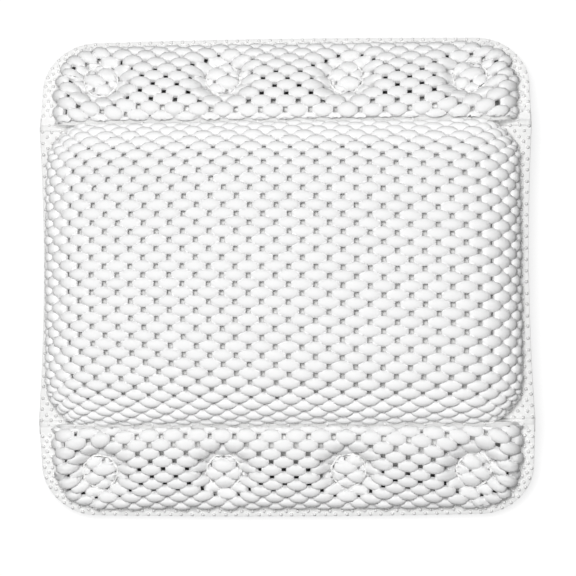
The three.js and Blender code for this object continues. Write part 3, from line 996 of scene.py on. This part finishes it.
def band_edge(inset, trim):
    """The outer edge of a band, which narrows and bows as it hangs."""
    edge = band_outline(WIDTH / 2 - SHEET_TRIM - inset, inset, BAND_DEPTH - trim - inset, CORNER_RADIUS)
    far = edge[:, 1] / BAND_DEPTH
    x = edge[:, 0] * (1 - SHEET_TAPER * far)
    return np.column_stack([x, edge[:, 1] - SHEET_BOW * far * (x / BOW_REACH) ** 2])


def band_flange(trim):
    """The flange about a band's pouch, with dots along its free edge."""
    under = FLANGE_UNDER_NET
    radius = CORNER_RADIUS - FLANGE - under
    weld_line = band_outline(BAND_HALF - under, BAND_INNER + under, BAND_OUTER - under, radius)
    outer = band_edge(FLANGE_TRIM, trim)
    free_edge = outer[FOLD_POINTS:-1]
    ring = flange(weld_line, outer, WELD_TOP, WELD_TOP - FILM)
    return joined([ring, dots(dotted_rows(free_edge, BAND_DOT_ROWS), WELD_TOP)])


def band_film(trim):
    """A band's film as a flat plate."""
    outline = band_edge(FILM_TRIM, trim)
    count = len(outline)
    lower = np.column_stack([outline, np.zeros(count)])
    upper = np.column_stack([outline, np.full(count, FILM)])
    faces = [[k, (k + 1) % count, count + (k + 1) % count, count + k] for k in range(count)]
    faces.append(list(range(count - 1, -1, -1)))
    faces.append(list(range(count, 2 * count)))
    return np.concatenate([lower, upper]), faces


def waves(turn, phase, terms, start):
    """A sum of waves round a circle, added to a start."""
    return sum((amount * np.sin(turn * count + share * phase) for amount, count, share in terms), start)


def ring_weld(x):
    """The thin ridge of a round weld about a cup's pocket."""
    profile = []
    for t in np.linspace(0, 2 * math.pi, RIDGE_POINTS):
        up = WELD_TOP + RIDGE_RISE + RIDGE_HALF_HEIGHT * math.sin(t)
        profile.append((RING_RADIUS + RIDGE_HALF * math.cos(t), up))
    points, faces = revolve(profile, RIDGE_SEGMENTS)
    turn = np.arctan2(points[:, 1], points[:, 0])
    points[:, :2] *= waves(turn, x, RIDGE_ASIDE, 1)[:, None]
    points[:, 2] += waves(turn, x, RIDGE_UPWARD, 0)
    return points + [x, RING_LINE, 0], faces


def bulge(name, x, y):
    """How far the liner follows the net beside a fold line, from 1 at the line to 0."""
    low, high, longer = BULGE[name]
    return 1 - smooth(low, high + longer * smooth(*BULGE_LONGER, x), y)


def liner(name, pouch):
    """The film's inner face for a band's pouch: it bulges up under the net near the fold line and about the
    round welds. Returns the points and faces of a closed body on the film, and which faces lie deep; those
    get a dark film as painted shade."""
    columns, rows = LINER_GRID
    along = np.linspace(-LINER_SIDE, LINER_SIDE, columns)
    x, y = np.meshgrid(along, np.linspace(LINER_INNER, LINER_OUTER, rows))
    x, y = x.ravel(), y.ravel()
    roof = pouch.at(x / pouch.side.length, np.interp(y, pouch.out, pouch.run))[:, 2]
    near = bulge(name, x, y)
    under = np.full(len(x), LINER_UNDER)
    for away in ring_distances(x, y):
        near = np.maximum(near, 1 - smooth(*LINER_BY_RING, away))
        room = POCKET_UNDER + (LINER_UNDER - POCKET_UNDER) * smooth(*LINER_IN_POCKET, away)
        under = np.minimum(under, room)
    rim = smooth(*LINER_FROM_FOLD, y) * (1 - smooth(*LINER_TO_EDGE, y))
    rim = rim * (1 - smooth(*LINER_TO_SIDE, np.abs(x)))
    lift = np.maximum(0, roof - under - FILM) * near * rim
    top = np.column_stack([x, y, FILM + LINER_OVER_FILM + lift])
    bottom = np.column_stack([x, y, np.full(len(x), FILM - LINER_INTO_FILM)])
    points, faces = closed_sheet(top, bottom, columns, rows)
    deep = [max(face) < len(top) and near[face].mean() < LINER_SHADE_BELOW for face in faces]
    return points, faces, deep


def skirt(wall, shares):
    """A skirt's wall: from a radius and a height out and down by a width and a depth."""
    radius, height, wide, deep = wall
    turn = shares * math.pi / 2
    return list(zip(radius + wide * np.sin(turn), height - deep * (1 - np.cos(turn))))


def cup():
    """A suction cup: head, neck and hollow skirt."""
    shares = np.linspace(SKIRT_FIRST, 1, SKIRT_STEPS)
    outside = CUP_HEAD + CUP_NECK + skirt(SKIRT_OUTSIDE, shares)
    profile = outside + CUP_LIP + skirt(SKIRT_INSIDE, shares[::-1]) + CUP_ROOF
    return revolve(profile[::-1], CUP_SEGMENTS)


def fold_over(piece, name, sign):
    """Works out the ends of the fold line beside a band, from the main pouch on, and bakes a piece's
    placement into its points.
    """
    hinge = np.array([0, sign * MAIN_DEPTH / 2, BELLY])
    out = np.array([0, sign * math.cos(DROOP), -math.sin(DROOP)])
    start, end = ((hinge + out * d) / PER_METRE for d in (FOLD_FROM, FOLD_TO))
    tuple(start)
    tuple(end)
    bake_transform(piece)


weaves = {
    "upper": Weave(
        hole=(-6.6, 21.6),
        pitch=(8.224, 5.642),
        slant=(0.194, -0.104),
        reach=(160, 60),
        drape_u=((3, 0, -1.0), (2, 0, 1.9), (1, 1, -3.5), (0, 2, 1.4)),
        drape_v=((2, 0, 2.2), (4, 0, 13.4), (3, 0, 1.1), (1, 1, -1.7), (0, 2, 3.7), (0, 3, -6.0)),
    ),
    "lower": Weave(
        hole=(9.6, 22.0),
        pitch=(8.122, 5.765),
        slant=(0.247, -0.093),
        reach=(160, 60),
        drape_u=((3, 0, 0.9), (2, 0, -1.1), (1, 1, -3.8), (0, 2, -3.7)),
        drape_v=((2, 0, 2.1), (4, 0, 12.4), (3, 0, -4.6), (1, 1, -2.2), (0, 2, 1.0), (0, 3, -5.4)),
    ),
}
band_pouch = BandPouch(NET_INSET)
cup_points, cup_faces = cup()
for name, sign in BANDS:
    body = f"{name}_band"
    place = band_place(sign)
    net = foam_net(f"{name}_net", band_pouch, weaves[name], BAND_BEAD, place)
    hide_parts(f"{name}_band_cover")
    points, faces = band_flange(BAND_TRIM[name])
    rim = add_mesh(f"{name}_flange", place(points), faces, weld)
    crisp(rim)
    points, faces = joined([ring_weld(x) for x in CUPS_AT])
    rings = add_mesh(f"{name}_ring_welds", place(points), faces, seam)
    plate = band_film(BAND_TRIM[name])
    lining_points, lining_faces, deep = liner(name, band_pouch)
    points, faces = joined([plate, (lining_points, lining_faces)])
    back_film = add_mesh(f"{name}_film", place(points), faces, film)
    # The liner's deep faces get the dark film, as painted shade
    back_film.data.materials.append(shaded_film)
    slots = [0] * len(plate[1]) + [int(dark) for dark in deep]
    back_film.data.polygons.foreach_set("material_index", slots)
    crisp(back_film, FILM_CRISP_ANGLE)
    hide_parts(f"{name}_band_back")
    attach(rings, body)
    for piece in (net, rim, back_film):
        fold_over(piece, name, sign)
    for k, x in enumerate(CUPS_AT):
        node = f"{name}_suction_cup_{k + 1}"
        piece = add_mesh(f"{name}_cup_{k + 1}", place(cup_points + [x, CUP_LINE, 0]), cup_faces, vinyl)
        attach(piece, node)
        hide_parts(node)


# Fold webs


def fold_web(sign):
    """The weld along a fold line: a strip from the main pouch to the band, with a row of dots."""
    place = band_place(sign)
    half = WIDTH / 2 - SHEET_TRIM - WEB_TRIM
    across = np.linspace(-half, half, WEB_STEPS)
    lines = []
    for y in WEB_MAIN_LINES:
        out = np.full(WEB_STEPS, sign * (MAIN_DEPTH / 2 + y))
        lines.append(np.column_stack([sign * across, out, np.full(WEB_STEPS, BELLY)]))
    for y in WEB_BAND_LINES:
        lines.append(place(np.column_stack([across, np.full(WEB_STEPS, y), np.zeros(WEB_STEPS)])))
    lines = np.stack(lines)
    main_end = 1 - smooth(*WEB_MAIN_END, np.abs(across))
    band_end = 1 - smooth(*WEB_BAND_END, np.abs(across))
    ends = [main_end] * WEB_WITH_MAIN + [band_end] * (len(lines) - WEB_WITH_MAIN)
    ridge = FOLD_RIDGE * np.array(WEB_HUMP)[:, None] * np.stack(ends)
    up = np.array([0, 0, 1])
    top = lines + up * (WELD_TOP + WEB_OVER + ridge[:, :, None])
    under = lines + up * (WELD_TOP - WEB_THICKNESS)
    parts = [closed_sheet(top.reshape(-1, 3), under.reshape(-1, 3), WEB_STEPS, len(lines))]
    for k, x in enumerate(np.arange(*STUD_SPAN, STUD_PITCH)):
        level = WELD_TOP + FOLD_RIDGE * (1 - smooth(*WEB_MAIN_END, abs(x)))
        stud_x = x + rng.normal(0, STUD_STRAY)
        stud_y = sign * MAIN_DEPTH / 2 + STUD_ASIDE * (-1) ** k
        parts.append(dots([(stud_x, stud_y)], BELLY + level, STUD_SIZE))
    return joined(parts)


for name, sign in BANDS:
    # The fold webs take the darker vinyl, as painted shade
    web = add_mesh(f"{name}_fold_web", *fold_web(sign), shaded_weld)
    fold_over(web, name, sign)


# Floor, light and camera


def show(tree, seen, lighting, output):
    """Gives a surface one look where a ray from the camera meets it, also by gloss or glass, and another
    where it lights the object."""
    ray = tree.nodes.new("ShaderNodeLightPath")
    looked_at = ray.outputs["Is Camera Ray"]
    for kind in ("Is Glossy Ray", "Is Transmission Ray"):
        either = tree.nodes.new("ShaderNodeMath")
        either.operation = "MAXIMUM"
        tree.links.new(looked_at, either.inputs[0])
        tree.links.new(ray.outputs[kind], either.inputs[1])
        looked_at = either.outputs[0]
    choice = tree.nodes.new("ShaderNodeMixShader")
    tree.links.new(looked_at, choice.inputs["Fac"])
    tree.links.new(lighting, choice.inputs[1])
    tree.links.new(seen, choice.inputs[2])
    tree.links.new(choice.outputs["Shader"], tree.nodes[output].inputs["Surface"])


def floor_surface():
    """White where it is seen, with a faint shadow, and grey where it lights the object."""
    material, shader = principled("floor", FLOOR_COLOR, roughness=0.9, specular=0.1)
    nodes, links = material.node_tree.nodes, material.node_tree.links
    glow = nodes.new("ShaderNodeEmission")
    glow.inputs["Strength"].default_value = FLOOR_GLOW
    lit = nodes.new("ShaderNodeBsdfDiffuse")
    lit.inputs["Color"].default_value = FLOOR_LIT
    white = nodes.new("ShaderNodeAddShader")
    links.new(glow.outputs["Emission"], white.inputs[0])
    links.new(lit.outputs["BSDF"], white.inputs[1])
    show(material.node_tree, white.outputs["Shader"], shader.outputs["BSDF"], "Material Output")
    return material


floor_corners = [(-1, -1), (1, -1), (1, 1), (-1, 1)]
floor_points = [(a * FLOOR_HALF, b * FLOOR_HALF, FLOOR_AT) for a, b in floor_corners]
floor = add_mesh("floor", floor_points, [[0, 1, 2, 3]], floor_surface())


def area_lamp(name, place, size, power):
    """A round lamp that points at the object."""
    light = bpy.data.lights.new(name, "AREA")
    light.shape = "DISK"
    light.size = size
    light.energy = power
    lamp = bpy.data.objects.new(name, light)
    lamp.location = place
    lamp.rotation_mode = "QUATERNION"
    lamp.rotation_quaternion = (Vector(LAMP_TARGET) - Vector(place)).to_track_quat("-Z", "Y")
    bpy.context.scene.collection.objects.link(lamp)


area_lamp("key", place=(-0.16, 0.26, 1.65), size=0.6, power=16.2)
area_lamp("overhead", place=(-0.1, -0.12, 1.75), size=1.1, power=11.6)

scene = bpy.context.scene
world = bpy.data.worlds.new("studio")
world.use_nodes = True
ambient = world.node_tree.nodes["Background"]
ambient.inputs["Color"].default_value = WHITE
ambient.inputs["Strength"].default_value = AMBIENT
backdrop = world.node_tree.nodes.new("ShaderNodeBackground")
backdrop.inputs["Color"].default_value = WHITE
backdrop.inputs["Strength"].default_value = BACKDROP
show(world.node_tree, backdrop.outputs["Background"], ambient.outputs["Background"], "World Output")
scene.world = world

camera_data = bpy.data.cameras.new("camera")
camera_data.sensor_width = CAMERA_SENSOR
camera_data.lens = CAMERA_LENS
camera_data.clip_start, camera_data.clip_end = CAMERA_CLIP
camera = bpy.data.objects.new("camera", camera_data)
aside = math.tan(math.radians(CAMERA_RIGHT))
below = math.tan(math.radians(CAMERA_BELOW))
back = Vector((aside, -below, 1)).normalized()
right = Vector((0, 1, 0)).cross(back).normalized()
right = Matrix.Rotation(math.radians(CAMERA_ROLL), 3, back) @ right
up = back.cross(right)
turned = Matrix((right, up, back)).transposed().to_4x4()
turned.translation = Vector(CAMERA_TARGET) + back * CAMERA_AWAY
camera.matrix_world = turned
scene.collection.objects.link(camera)
scene.camera = camera

scene.view_settings.view_transform = "Standard"
